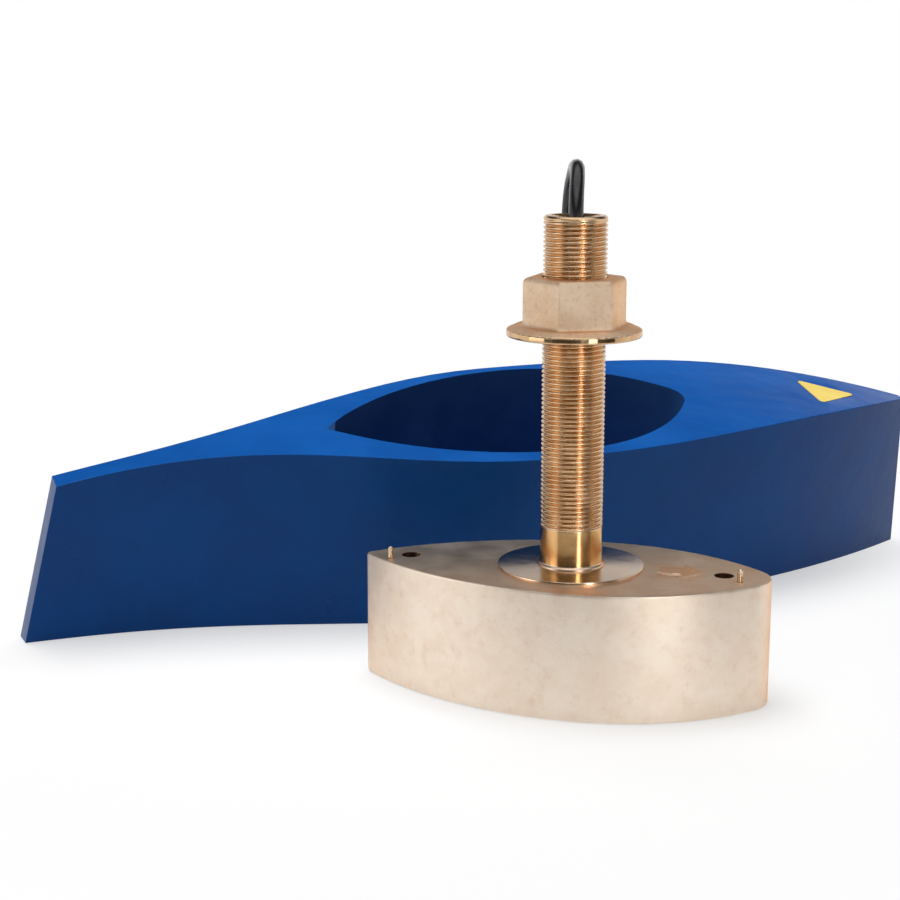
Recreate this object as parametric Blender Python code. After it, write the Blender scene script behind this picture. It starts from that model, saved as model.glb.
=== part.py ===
"""A bronze through-hull sonar transducer with its fairing standing behind it.

Metres, +Z up. The stem's axis is the Z axis, the acoustic face lies on z = 0 and the bow is at +X.
The fairing lies on its sawn face with its pocket up, turned about the vertical.
"""

import math

import bmesh
import bpy
from mathutils import Vector

GAP = 0.0003  # between solids that touch
CUT_PAST = 0.0200  # how far a cutter runs past the surface that it opens
CUT_INTO = 0.0020  # how far it runs into a hollow that is already there

# The bronze casting: a pointed oval housing and its stem
HOUSING_AFT = 0.1185  # from the widest station to each tip
HOUSING_FORE = 0.0913
HOUSING_WIDTH = 0.1020
HOUSING_HEIGHT = 0.0650
BEAM_PLACE = 0.0102  # the widest station is this far ahead of the stem
TIP_AFT_RADIUS = 0.0040
TIP_FORE_RADIUS = 0.0201
EDGE_ROUND = 0.0014
SIDE_WALL = 0.0050
TIP_WALL = 0.0090  # from the tips to the window
TOP_WALL = 0.0080
TIP_SOLID = 0.0365  # from the tips to the cavity
LEDGE = 0.0015  # the window rests on it
STEM_ROOT = 0.0040  # how deep the stem and the arrow run into the top wall
SEAT_RADIUS = 0.0374  # the turned boss round the stem
SEAT_RISE = 0.0015
COLLAR_RADIUS = 0.0173
COLLAR_HEIGHT = 0.0018
COLLAR_FOOT = 0.0009  # the collar's upright part
STEM_RADIUS = 0.015875
STEM_TOP = 0.2428
STEM_BORE = 0.0115
RIM_CHAMFER = 0.0010
BLIND_HOLE_RADIUS = 0.0050
BLIND_HOLE_DEPTH = 0.0200
BLIND_HOLE_SET_BACK = 0.0238  # from each tip
PIN_RADIUS = 0.0014
PIN_CHAMFER = 0.0006
PIN_RISE = 0.0062
PIN_SUNK = 0.0060
PIN_SET_BACK = 0.0151
PIN_SIDE = -0.0085
ARROW_CLEARANCE = 0.0076  # from the boss
ARROW_SHAFT = 0.0120
ARROW_SHAFT_WIDTH = 0.0110
ARROW_HEAD = 0.0105
ARROW_HEAD_WIDTH = 0.0250
ARROW_RISE = 0.0012

# The hull nut
NUT_SET_BACK = 0.0594  # from the stem's end down to the nut's seat
NUT_FLANGE_RADIUS = 0.0339
NUT_FLANGE_RIM = 0.0038
NUT_FLANGE_CROWN = 0.0016  # how far the flange rises from its rim to the hexagon
NUT_FLANGE_EDGE = 0.0012
NUT_FLANGE_CHAMFER = 0.0006  # under the flange
NUT_ACROSS_FLATS = 0.0459
NUT_HEIGHT = 0.0294
NUT_TURN = math.radians(23.5)  # where the first corner points
NUT_CORNER_ROUND = 0.0014
NUT_TOP_ROUND = 0.0028
NUT_FOOT_ROUND = 0.0024
NUT_FOOT_SUNK = 0.0005  # how deep the hexagon's foot lies in the flange

# What the housing holds
WINDOW_DEPTH = 0.0080
CERAMIC_ROOM = 0.0035  # from the outer elements to the housing's wall
CERAMIC_SPACING = 0.0020  # between two elements
CERAMIC_HEIGHT = 0.0200
BACKING_THICKNESS = 0.0060
CORE_OUTER = 0.0160
CORE_INNER = 0.0080
CORE_COVER = 0.0040  # potting over it
CORE_ROUND = 0.0012
CORE_END_ROOM = 0.0138  # from the cavity's aft end
SENSOR_RADIUS = 0.0030
SENSOR_LENGTH = 0.0180
SENSOR_SET_BACK = 0.0205  # from the fore tip
SEAL_SET_BACK = 0.0108  # from the stem's end
SEAL_HEIGHT = 0.0120

# The fairing
FAIRING_CENTRE = (-0.0585, 0.1528)  # the middle of its beam, over the base
FAIRING_YAW = math.radians(36.1)
DEADRISE = math.radians(13.53)  # the slope of the sawn face
RUN_ANGLE = math.radians(1.13)
CROWN_HEIGHT = 0.1147
FAIRING_AFT = 0.2759
FAIRING_FORE = 0.2747
FAIRING_WALL = 0.0074  # beside the pocket
TAIL_HALF = 0.0070
NOSE_HALF = 0.0030
TAIL_POWER = 1.40
BOW_POWER = 2.19
FLAT_AFT = 0.1095
FLAT_FORE = 0.1072
CROWN_RADIUS_AFT = 0.922
CROWN_RADIUS_FORE = 0.833
RAKE_AFT = math.radians(11.6)
RAKE_FORE = math.radians(6.75)
FAIRING_EDGE = 0.0028
FAIRING_STATIONS = 26
BED_SIDE = 0.0083  # room for the bedding compound round the housing
BED_AFT = 0.0155
BED_FORE = 0.0042
BED_DEPTH = 0.0030
POCKET_AFT_RADIUS = 0.0021
POCKET_FORE_RADIUS = 0.0189
POCKET_BEAM_PLACE = 0.0136  # the pocket's widest station, from the fairing's
POCKET_SIDE = 0.0014
STEM_HOLE_CLEARANCE = 0.0009
PIN_HOLE_CLEARANCE = 0.0006
PIN_HOLE_DEPTH = 0.0090

# The bow mark let into the fairing
MARK_BASE = 0.2003
MARK_LENGTH = 0.0340
MARK_WIDTH = 0.0370
MARK_SIDE = -0.0033
MARK_TURN = math.radians(-5.5)
MARK_THICKNESS = 0.0012
MARK_PROUD = 0.0003
MARK_ROUND = 0.0022

# The cable, its coil and its connector
CABLE_RADIUS = 0.00375
CABLE_STEP = 0.0150
CABLE_RISE = [  # heights from the stem's end
    (0.0000, 0.0000, -0.0223), (0.0000, 0.0000, -0.0148), (0.0000, 0.0001, -0.0073),
    (-0.0007, 0.0045, 0.0072), (-0.0023, 0.0154, 0.0182), (-0.0052, 0.0296, 0.0222),
    (-0.0091, 0.0436, 0.0182), (-0.0128, 0.0540, 0.0072), (-0.0147, 0.0592, -0.0088),
]
CABLE_FALL = [
    (-0.0204, 0.0810, 0.1920), (-0.0225, 0.1085, 0.1700), (-0.0252, 0.1430, 0.1520),
    (-0.0303, 0.1825, 0.1410), (-0.0368, 0.2189, 0.1354), (-0.0407, 0.2467, 0.1347),
    (-0.0435, 0.2686, 0.1290), (-0.0467, 0.2862, 0.1120), (-0.0493, 0.2959, 0.0850),
    (-0.0537, 0.3032, 0.0550), (-0.0593, 0.3133, 0.0265), (-0.0758, 0.3253, 0.0095),
    (-0.1117, 0.3411, 0.0047), (-0.1553, 0.3546, 0.0056),
]
COIL_CENTRE = (-0.1761, 0.2815)
COIL_FLOOR = 0.0018
COIL_TURNS_ACROSS = 5
COIL_TURNS_UP = 5
COIL_MEAN_RADIUS = 0.0531
TAIL_ROUTE = [
    (-0.2496, 0.3023, 0.0356), (-0.2561, 0.2716, 0.0300), (-0.2607, 0.2406, 0.0170),
    (-0.2625, 0.2117, 0.0112), (-0.2631, 0.1917, 0.0108),
]
TIE_WIDTH = 0.0140
TIE_THICKNESS = 0.0012
TIE_ANGLE = math.radians(-77.5)
TIE_ROOM_IN = 0.0011
TIE_ROOM_OUT = 0.0004
CONNECTOR_AXIS_HEIGHT = 0.0108
BOOT_LENGTH = 0.0260
BOOT_TAPER = 0.0208
BOOT_RADIUS = 0.0068
BOOT_WALL = 0.0006  # at its thin end
SHELL_LENGTH = 0.0300
SHELL_RADIUS = 0.0080
RING_LENGTH = 0.0160
RING_RADIUS = 0.0102
RING_SET_BACK = 0.0060  # from the shell's mouth to the ring's end
SOCKET_DEPTH = 0.0110
SHELL_WALL = 0.0012
INSERT_LENGTH = 0.0080
CONTACT_RADIUS = 0.0007
CONTACT_CIRCLE = 0.0040
CONTACT_COUNT = 5
CONTACT_LENGTH = 0.0055
CONTACT_SUNK = 0.0030

ROUND_STEPS = 48
SMALL_STEPS = 20


def clear_objects():
    for item in list(bpy.data.objects):
        bpy.data.objects.remove(item, do_unlink=True)


def material(name, red, green, blue, roughness, metallic=0.0):
    made = bpy.data.materials.new(name)
    made.use_nodes = True
    shader = made.node_tree.nodes["Principled BSDF"]
    shader.inputs["Base Color"].default_value = (red, green, blue, 1.0)
    shader.inputs["Roughness"].default_value = roughness
    shader.inputs["Metallic"].default_value = metallic
    return made


def place(name, mesh, finish=None, parent=None):
    item = bpy.data.objects.new(name, mesh)
    bpy.context.collection.objects.link(item)
    if finish:
        mesh.materials.append(finish)
    item.parent = parent
    return item


def finished(shape, name, smooth=math.radians(35)):
    """The bmesh as a mesh with outward normals, shaded smooth between its sharp edges."""
    bmesh.ops.recalc_face_normals(shape, faces=shape.faces)
    mesh = bpy.data.meshes.new(name)
    shape.to_mesh(mesh)
    shape.free()
    mesh.shade_smooth()
    mesh.set_sharp_from_angle(angle=smooth)
    return mesh


def prism(name, outline, low, high):
    """A closed outline of (x, y) points pulled up from low to high."""
    shape = bmesh.new()
    base = shape.faces.new([shape.verts.new((x, y, low)) for x, y in outline])
    pulled = bmesh.ops.extrude_face_region(shape, geom=[base])["geom"]
    moved = [part for part in pulled if isinstance(part, bmesh.types.BMVert)]
    bmesh.ops.translate(shape, verts=moved, vec=(0, 0, high - low))
    return finished(shape, name)


def turned(name, profile, steps=ROUND_STEPS, closed=False):
    """A profile of (radius, height) points spun round Z."""
    shape = bmesh.new()
    verts = [shape.verts.new((radius, 0, height)) for radius, height in profile]
    pairs = list(zip(verts, verts[1:]))
    if closed:
        pairs.append((verts[-1], verts[0]))
    edges = [shape.edges.new(pair) for pair in pairs]
    bmesh.ops.spin(shape, geom=verts + edges, cent=(0, 0, 0), axis=(0, 0, 1), steps=steps, angle=math.tau)
    bmesh.ops.remove_doubles(shape, verts=shape.verts, dist=1e-6)
    return finished(shape, name)


def cylinder_profile(radius, low, high, chamfer=0.0):
    return [(0, low), (radius, low), (radius, high - chamfer), (radius - chamfer, high), (0, high)]


def arc(cx, cy, radius, start, end, steps):
    """Points on a circle, the last one left out."""
    angles = [start + (end - start) * k / steps for k in range(steps)]
    return [(cx + radius * math.cos(a), cy + radius * math.sin(a)) for a in angles]


def side_arc(reach, beam, tip):
    """A side's radius from the widest station to a tip, and how far its centre lies past the middle."""
    radius = ((reach - tip) ** 2 / (beam - tip) + tip + beam) / 2
    return radius, radius - beam


def lens(aft, fore, beam, tip_aft, tip_fore, middle=(0, 0), side_steps=11, tip_steps=4):
    """A pointed oval, each side two arcs that meet square at the widest station."""
    fore_radius, fore_past = side_arc(fore, beam, tip_fore)
    aft_radius, aft_past = side_arc(aft, beam, tip_aft)
    fore_turn = math.atan2(fore_past, fore - tip_fore)
    aft_turn = math.pi - math.atan2(aft_past, aft - tip_aft)
    port = arc(fore - tip_fore, 0, tip_fore, 0, fore_turn, tip_steps)
    port += arc(0, -fore_past, fore_radius, fore_turn, math.pi / 2, side_steps)
    port += arc(0, -aft_past, aft_radius, math.pi / 2, aft_turn, side_steps)
    port += arc(tip_aft - aft, 0, tip_aft, aft_turn, math.pi, tip_steps)
    starboard = [(x, -y) for x, y in reversed(port[1:])]
    return [(middle[0] + x, middle[1] + y) for x, y in port + [(-aft, 0)] + starboard]


def circle(cx, cy, radius, steps=SMALL_STEPS):
    return arc(cx, cy, radius, 0, math.tau, steps)


def cutter(name, mesh, parent=None):
    item = place(name, mesh, parent=parent)
    item.hide_render = True
    item.display_type = "WIRE"
    return item


def combine(item, other, operation):
    step = item.modifiers.new(other.name, "BOOLEAN")
    step.operation = operation
    step.solver = "EXACT"
    step.object = other


def soften(item, width, segments=2, angle=math.radians(40)):
    step = item.modifiers.new("Edge", "BEVEL")
    step.width = width
    step.segments = segments
    step.limit_method = "ANGLE"
    step.angle_limit = angle


def housing_lens(inset=0.0, tip_inset=0.0):
    """The housing's outline, drawn in by inset at the sides and by tip_inset at the tips."""
    tip_aft = max(TIP_AFT_RADIUS - inset, GAP)
    return lens(HOUSING_AFT - tip_inset, HOUSING_FORE - tip_inset, HOUSING_WIDTH / 2 - inset,
                tip_aft, TIP_FORE_RADIUS - inset, (BEAM_PLACE, 0))


def hollow(inset, room=0.0, steps=14):
    """The cavity's outline: the housing's sides drawn in by inset, cut square short of both tips."""
    beam = HOUSING_WIDTH / 2
    ends = []
    for way, reach, tip in ((1, HOUSING_FORE, TIP_FORE_RADIUS), (-1, HOUSING_AFT, TIP_AFT_RADIUS)):
        radius, past = side_arc(reach, beam, tip)
        half = reach - TIP_SOLID - room
        xs = [half * k / steps for k in range(steps, -1, -1)]
        side = [(BEAM_PLACE + way * x, math.sqrt((radius - inset) ** 2 - x**2) - past) for x in xs]
        ends.append(side)
    port = ends[0] + ends[1][-2::-1]
    return port + [(x, -y) for x, y in reversed(port)]


def aft_tip():
    return BEAM_PLACE - HOUSING_AFT


def fore_tip():
    return BEAM_PLACE + HOUSING_FORE


def tip_places(set_back):
    """A place near each tip, the aft one first."""
    return aft_tip() + set_back, fore_tip() - set_back


def make_housing(bronze):
    item = place("bronze_housing", prism("housing", housing_lens(), 0, HOUSING_HEIGHT), bronze)
    soften(item, EDGE_ROUND)
    seat = HOUSING_HEIGHT + SEAT_RISE
    root = HOUSING_HEIGHT - STEM_ROOT
    profile = [
        (0, root),
        (SEAT_RADIUS, root),
        (SEAT_RADIUS, seat - GAP),
        (SEAT_RADIUS - GAP, seat),
        (COLLAR_RADIUS, seat),
        (COLLAR_RADIUS, seat + COLLAR_FOOT),
        (STEM_RADIUS, seat + COLLAR_HEIGHT),
        (STEM_RADIUS, STEM_TOP - RIM_CHAMFER),
        (STEM_RADIUS - RIM_CHAMFER, STEM_TOP),
        (0, STEM_TOP),
    ]
    combine(item, cutter("cut_stem", turned("stem", profile)), "UNION")
    combine(item, cutter("cut_arrow", arrow_mesh(root)), "UNION")
    window = prism("window_recess", housing_lens(SIDE_WALL, TIP_WALL), -CUT_PAST, WINDOW_DEPTH)
    combine(item, cutter("cut_window", window), "DIFFERENCE")
    roof = HOUSING_HEIGHT - TOP_WALL
    cavity = prism("cavity", hollow(SIDE_WALL + LEDGE), WINDOW_DEPTH - CUT_INTO, roof)
    combine(item, cutter("cut_cavity", cavity), "DIFFERENCE")
    bore = turned("bore", cylinder_profile(STEM_BORE, roof - CUT_INTO, STEM_TOP + CUT_PAST))
    combine(item, cutter("cut_bore", bore), "DIFFERENCE")
    above = HOUSING_HEIGHT + CUT_PAST
    for x in tip_places(BLIND_HOLE_SET_BACK):
        hole = prism("blind_hole", circle(x, 0, BLIND_HOLE_RADIUS), HOUSING_HEIGHT - BLIND_HOLE_DEPTH, above)
        combine(item, cutter("cut_blind_hole", hole), "DIFFERENCE")
    for x in tip_places(PIN_SET_BACK):
        outline = circle(x, PIN_SIDE, PIN_RADIUS + GAP, 12)
        hole = prism("pin_hole", outline, HOUSING_HEIGHT - PIN_SUNK - GAP, above)
        combine(item, cutter("cut_pin_hole", hole), "DIFFERENCE")
    outline = circle(fore_tip() - SENSOR_SET_BACK, 0, SENSOR_RADIUS + GAP, 12)
    hole = prism("sensor_hole", outline, -CUT_PAST, SENSOR_LENGTH + GAP)
    combine(item, cutter("cut_sensor_hole", hole), "DIFFERENCE")


def arrow_mesh(root):
    """The cast arrow that points to the bow."""
    shaft = ARROW_SHAFT_WIDTH / 2
    wing = ARROW_HEAD_WIDTH / 2
    start = SEAT_RADIUS + ARROW_CLEARANCE
    neck = start + ARROW_SHAFT
    outline = [(start, -shaft), (neck, -shaft), (neck, -wing), (neck + ARROW_HEAD, 0),
               (neck, wing), (neck, shaft), (start, shaft)]
    return prism("arrow", outline, root, HOUSING_HEIGHT + ARROW_RISE)


def make_pins(bronze):
    low = HOUSING_HEIGHT - PIN_SUNK
    high = HOUSING_HEIGHT + PIN_RISE
    for name, x in zip(("locating_pin_aft", "locating_pin_fore"), tip_places(PIN_SET_BACK)):
        profile = cylinder_profile(PIN_RADIUS, low, high, PIN_CHAMFER)
        item = place(name, turned(name, profile, 16), bronze)
        item.location = (x, PIN_SIDE, 0)


def loft(name, rings):
    """Closed rings of points joined by quads, the first and last ones capped."""
    shape = bmesh.new()
    made = [[shape.verts.new(point) for point in ring] for ring in rings]
    for one, two in zip(made, made[1:]):
        for k in range(len(one)):
            other = (k + 1) % len(one)
            shape.faces.new((one[k], one[other], two[other], two[k]))
    shape.faces.new(made[0])
    shape.faces.new(made[-1])
    return finished(shape, name)


def hexagon(outset, height):
    """The nut's rounded hexagon at a height, its flats moved out by outset."""
    reach = (NUT_ACROSS_FLATS / 2 + outset - NUT_CORNER_ROUND) / math.cos(math.pi / 6)
    ring = []
    for k in range(6):
        corner = NUT_TURN + math.tau * k / 6
        for turn in (-30, -10, 10, 30):
            way = corner + math.radians(turn)
            x = reach * math.cos(corner) + NUT_CORNER_ROUND * math.cos(way)
            y = reach * math.sin(corner) + NUT_CORNER_ROUND * math.sin(way)
            ring.append((x, y, height))
    return ring


def make_nut(bronze):
    seat = STEM_TOP - NUT_SET_BACK
    rim = seat + NUT_FLANGE_RIM
    crown = rim + NUT_FLANGE_CROWN
    foot = crown - NUT_FOOT_SUNK
    top = seat + NUT_HEIGHT
    quarter = [math.radians(30 * k) for k in range(4)]
    rings = [hexagon(NUT_FOOT_ROUND, seat + GAP)]
    for a in quarter:
        rings.append(hexagon(NUT_FOOT_ROUND * (1 - math.sin(a)), foot + NUT_FOOT_ROUND * (1 - math.cos(a))))
    for a in quarter:
        rings.append(hexagon(-NUT_TOP_ROUND * (1 - math.cos(a)), top - NUT_TOP_ROUND * (1 - math.sin(a))))
    item = place("hull_nut", loft("hull_nut", rings), bronze)
    corner = (NUT_ACROSS_FLATS / 2 + NUT_FOOT_ROUND) / math.cos(math.pi / 6)
    flange = [(0, seat), (NUT_FLANGE_RADIUS - NUT_FLANGE_CHAMFER, seat),
              (NUT_FLANGE_RADIUS, seat + NUT_FLANGE_CHAMFER)]
    for a in quarter:
        radius = NUT_FLANGE_RADIUS - NUT_FLANGE_EDGE * (1 - math.cos(a))
        flange.append((radius, rim - NUT_FLANGE_EDGE * (1 - math.sin(a))))
    flange += [(corner, crown), (0, crown)]
    combine(item, cutter("cut_nut_flange", turned("nut_flange", flange)), "UNION")
    bore = turned("nut_bore", cylinder_profile(STEM_RADIUS + GAP, seat - CUT_PAST, top + CUT_PAST))
    combine(item, cutter("cut_nut_bore", bore), "DIFFERENCE")


def ceramic_radius():
    """Three elements side by side fill the cavity's width, with their clearances."""
    half = HOUSING_WIDTH / 2 - SIDE_WALL - LEDGE
    return (half - CERAMIC_ROOM - CERAMIC_SPACING) / 3


def ceramic_places():
    """One disc in the middle and a ring of six round it."""
    pitch = 2 * ceramic_radius() + CERAMIC_SPACING
    angles = [math.radians(60 * k + 30) for k in range(6)]
    return [(0, 0)] + [(pitch * math.cos(a), pitch * math.sin(a)) for a in angles]


def make_inside(urethane, ceramic, cork, epoxy, ferrite, steel, rubber):
    outline = housing_lens(SIDE_WALL + GAP, TIP_WALL + 2 * GAP)
    window = place("acoustic_window", prism("window", outline, 0, WINDOW_DEPTH - GAP), urethane)
    probe = fore_tip() - SENSOR_SET_BACK
    hole = prism("window_hole", circle(probe, 0, SENSOR_RADIUS + GAP, 12), -CUT_PAST, WINDOW_DEPTH + CUT_PAST)
    combine(window, cutter("cut_window_hole", hole), "DIFFERENCE")
    sensor = turned("sensor", cylinder_profile(SENSOR_RADIUS, GAP, SENSOR_LENGTH), 12)
    place("temperature_sensor", sensor, steel).location = (probe, 0, 0)

    inset = SIDE_WALL + LEDGE + GAP
    top = WINDOW_DEPTH + CERAMIC_HEIGHT
    carrier = place("element_carrier", prism("carrier", hollow(inset, GAP), WINDOW_DEPTH, top), cork)
    radius = ceramic_radius()
    disc = prism("ceramic_element", circle(0, 0, radius, 24), WINDOW_DEPTH, top)
    disc.materials.append(ceramic)
    hole = prism("element_hole", circle(0, 0, radius + GAP, 24), 0, top + CUT_PAST)
    for k, (x, y) in enumerate(ceramic_places()):
        place(f"ceramic_element_{k + 1}", disc).location = (x, y, 0)
        room = cutter("cut_element_hole", hole)
        room.location = (x, y, 0)
        combine(carrier, room, "DIFFERENCE")

    low = top + GAP
    high = low + BACKING_THICKNESS
    place("backing_pad", prism("backing_pad", hollow(inset, GAP), low, high), cork)

    floor = high + GAP
    roof = HOUSING_HEIGHT - TOP_WALL - GAP
    core_top = roof - CORE_COVER
    potting = place("potting", prism("potting", hollow(inset, GAP), floor, roof), epoxy)
    core_place = (aft_tip() + TIP_SOLID + CORE_END_ROOM + CORE_OUTER, 0, 0)
    room = turned("core_room", cylinder_profile(CORE_OUTER + GAP, floor - CUT_INTO, core_top + GAP), 32)
    cut = cutter("cut_core_room", room)
    cut.location = core_place
    combine(potting, cut, "DIFFERENCE")
    profile = [(CORE_INNER, floor), (CORE_OUTER - CORE_ROUND, floor), (CORE_OUTER, floor + CORE_ROUND),
               (CORE_OUTER, core_top - CORE_ROUND), (CORE_OUTER - CORE_ROUND, core_top), (CORE_INNER, core_top)]
    core = place("matching_transformer", turned("core", profile, 32, closed=True), ferrite)
    core.location = core_place

    high = STEM_TOP - SEAL_SET_BACK
    low = high - SEAL_HEIGHT
    bore = CABLE_RADIUS + GAP
    profile = [(bore, low), (STEM_BORE - GAP, low), (STEM_BORE - GAP, high), (bore, high)]
    place("stem_seal", turned("stem_seal", profile, 32, closed=True), rubber)


def half_beam(s):
    """The fairing's half width at s: a raised cosine towards the tail, a power curve towards the bow."""
    widest = HOUSING_WIDTH / 2 + BED_SIDE + FAIRING_WALL
    if s < 0:
        wave = (1 + math.cos(math.pi * s / FAIRING_AFT)) / 2
        return TAIL_HALF + (widest - TAIL_HALF) * wave**TAIL_POWER
    return NOSE_HALF + (widest - NOSE_HALF) * (1 - (s / FAIRING_FORE) ** BOW_POWER)


def crown_drop(s):
    """How far the top falls away past its flat middle."""
    if s < -FLAT_AFT:
        return (s + FLAT_AFT) ** 2 / (2 * CROWN_RADIUS_AFT)
    if s > FLAT_FORE:
        return (s - FLAT_FORE) ** 2 / (2 * CROWN_RADIUS_FORE)
    return 0.0


def base_depth(s, t, rake):
    """The height along the wall from the top surface at (s, t) down to the sawn face."""
    up_s = math.sin(RUN_ANGLE)
    up_t = math.cos(RUN_ANGLE) * math.sin(DEADRISE)
    up_n = math.cos(RUN_ANGLE) * math.cos(DEADRISE)
    return (CROWN_HEIGHT + s * up_s + t * up_t - crown_drop(s) * up_n) / (up_n - rake * up_s)


def fairing_mesh():
    """Four-cornered stations from tail to bow, joined by quads."""
    aft = [-FAIRING_AFT * math.sin(math.pi / 2 * k / FAIRING_STATIONS) for k in range(FAIRING_STATIONS, 0, -1)]
    fore = [FAIRING_FORE * math.sin(math.pi / 2 * k / FAIRING_STATIONS) for k in range(FAIRING_STATIONS + 1)]
    shape = bmesh.new()
    rings = []
    for s in aft + fore:
        slope = math.tan(RAKE_AFT) * s / FAIRING_AFT if s < 0 else math.tan(RAKE_FORE) * s / FAIRING_FORE
        beam = half_beam(s)
        drop = crown_drop(s)
        near = base_depth(s, -beam, slope)
        far = base_depth(s, beam, slope)
        corners = [(s, -beam, -drop), (s, beam, -drop),
                   (s + slope * far, beam, -drop - far), (s + slope * near, -beam, -drop - near)]
        rings.append([shape.verts.new(corner) for corner in corners])
    for one, two in zip(rings, rings[1:]):
        for k in range(4):
            shape.faces.new((one[k], one[(k + 1) % 4], two[(k + 1) % 4], two[k]))
    shape.faces.new(rings[0])
    shape.faces.new(rings[-1])
    return finished(shape, "fairing")


def make_fairing(blue, yellow):
    frame = bpy.data.objects.new("fairing_frame", None)
    bpy.context.collection.objects.link(frame)
    frame.location = (*FAIRING_CENTRE, CROWN_HEIGHT)
    frame.rotation_euler = (DEADRISE, -RUN_ANGLE, FAIRING_YAW)

    item = place("fairing", fairing_mesh(), blue, frame)
    soften(item, FAIRING_EDGE, 2, math.radians(35))
    depth = HOUSING_HEIGHT + BED_DEPTH
    outline = lens(HOUSING_AFT + BED_AFT, HOUSING_FORE + BED_FORE, HOUSING_WIDTH / 2 + BED_SIDE,
                   POCKET_AFT_RADIUS, POCKET_FORE_RADIUS, (POCKET_BEAM_PLACE, POCKET_SIDE), 14, 5)
    combine(item, cutter("cut_pocket", prism("pocket", outline, -depth, CUT_PAST), frame), "DIFFERENCE")
    stem_place = POCKET_BEAM_PLACE - BEAM_PLACE - (BED_AFT - BED_FORE) / 2
    hole = circle(stem_place, POCKET_SIDE, STEM_RADIUS + STEM_HOLE_CLEARANCE, 32)
    shaft = prism("stem_hole", hole, -2 * CROWN_HEIGHT, CUT_INTO - depth)
    combine(item, cutter("cut_stem_hole", shaft, frame), "DIFFERENCE")
    for x in tip_places(PIN_SET_BACK):
        hole = circle(stem_place + x, POCKET_SIDE - PIN_SIDE, PIN_RADIUS + PIN_HOLE_CLEARANCE, 12)
        mesh = prism("pin_socket", hole, -depth - PIN_HOLE_DEPTH, CUT_INTO - depth)
        combine(item, cutter("cut_pin_socket", mesh, frame), "DIFFERENCE")

    middle = MARK_BASE + MARK_LENGTH / 3
    slope = (middle - FLAT_FORE) / CROWN_RADIUS_FORE
    seat = bpy.data.objects.new("mark_frame", None)
    bpy.context.collection.objects.link(seat)
    seat.parent = frame
    seat.location = (middle, MARK_SIDE, -crown_drop(middle))
    seat.rotation_euler = (0, math.atan(slope), MARK_TURN)
    place("bow_mark", prism("bow_mark", triangle(0), MARK_PROUD - MARK_THICKNESS, MARK_PROUD), yellow, seat)
    recess = prism("mark_recess", triangle(GAP), MARK_PROUD - MARK_THICKNESS - GAP, CUT_PAST)
    combine(item, cutter("cut_mark", recess, seat), "DIFFERENCE")


def triangle(grow):
    """The bow mark's rounded outline about its own middle, its point forward."""
    corners = [Vector((-MARK_LENGTH / 3, -MARK_WIDTH / 2)), Vector((MARK_LENGTH * 2 / 3, 0)),
               Vector((-MARK_LENGTH / 3, MARK_WIDTH / 2))]
    points = []
    for k, corner in enumerate(corners):
        back = (corners[k - 1] - corner).normalized()
        ahead = (corners[(k + 1) % 3] - corner).normalized()
        half = back.angle(ahead) / 2
        inward = (back + ahead).normalized()
        centre = corner + inward * (MARK_ROUND / math.sin(half))
        start = math.atan2(-inward.y, -inward.x) - (math.pi / 2 - half)
        sweep = math.pi - 2 * half
        points += [(centre.x + (MARK_ROUND + grow) * math.cos(start + sweep * j / 4),
                    centre.y + (MARK_ROUND + grow) * math.sin(start + sweep * j / 4)) for j in range(5)]
    return points


def smooth_path(route, step):
    """Points about a step apart on a smooth curve through the route's own points."""
    spots = [Vector(spot) for spot in route]
    ends = [2 * spots[0] - spots[1]] + spots + [2 * spots[-1] - spots[-2]]
    fine = []
    for a, b, c, d in zip(ends, ends[1:], ends[2:], ends[3:]):
        for k in range(12):
            u = k / 12
            fine.append(0.5 * (2 * b + (c - a) * u + (2 * a - 5 * b + 4 * c - d) * u**2
                               + (3 * b - a - 3 * c + d) * u**3))
    fine.append(spots[-1])
    lengths = [0.0]
    for a, b in zip(fine, fine[1:]):
        lengths.append(lengths[-1] + (b - a).length)
    count = max(2, round(lengths[-1] / step))
    points = []
    at = 0
    for k in range(count + 1):
        goal = lengths[-1] * k / count
        while at < len(fine) - 2 and lengths[at + 1] < goal:
            at += 1
        share = (goal - lengths[at]) / (lengths[at + 1] - lengths[at])
        points.append(fine[at].lerp(fine[at + 1], min(share, 1.0)))
    return points


def tube(name, route, finish, step=CABLE_STEP):
    line = bpy.data.curves.new(name, "CURVE")
    line.dimensions = "3D"
    line.bevel_depth = CABLE_RADIUS
    line.bevel_resolution = 2
    line.use_fill_caps = True
    points = smooth_path(route, step)
    spline = line.splines.new("POLY")
    spline.points.add(len(points) - 1)
    for spot, point in zip(spline.points, points):
        spot.co = (*point, 1.0)
    return place(name, line, finish)


def coil_radii():
    half = COIL_TURNS_ACROSS * CABLE_RADIUS
    return COIL_MEAN_RADIUS - half, COIL_MEAN_RADIUS + half


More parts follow.
